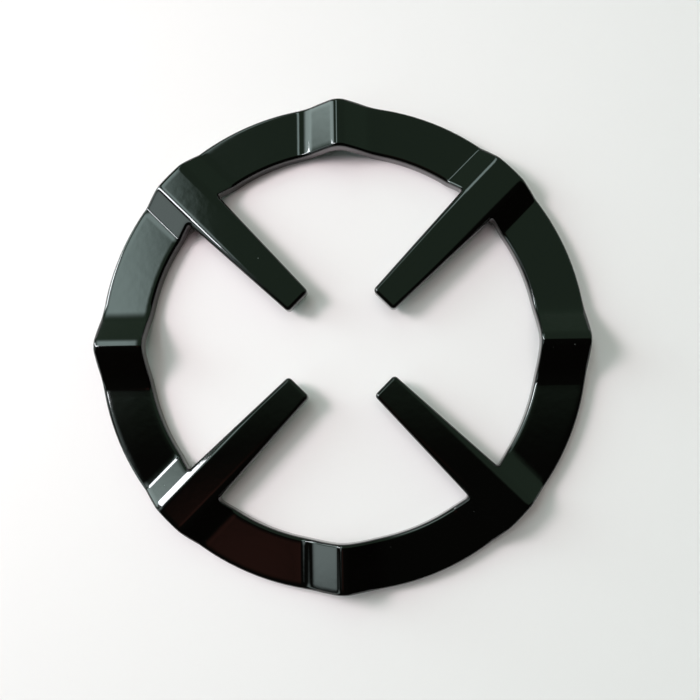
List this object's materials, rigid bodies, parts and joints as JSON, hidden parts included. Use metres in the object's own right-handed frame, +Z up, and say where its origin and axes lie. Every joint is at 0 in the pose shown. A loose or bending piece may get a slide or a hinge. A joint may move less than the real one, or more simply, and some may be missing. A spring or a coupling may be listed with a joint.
{
  "type": "gas hob reducer ring",
  "caption": "Round black enamelled ring with a raised wave and arms towards the middle, for standing a small pot over a gas burner.",
  "frame": {"origin": "middle of the ring, on the surface that its rims stand on", "axes": "+Z up through the middle, out of the face that carries the pot; +X and +Y each along the middle line of a high ridge, with the arms on the diagonals between them"},
  "size_m": [0.145, 0.145, 0.0128],
  "materials": {
    "black_enamel": "high gloss vitreous enamel"
  },
  "bodies": {
    "root": {"reducer_ring": "black_enamel"}
  },
  "joints": []
}
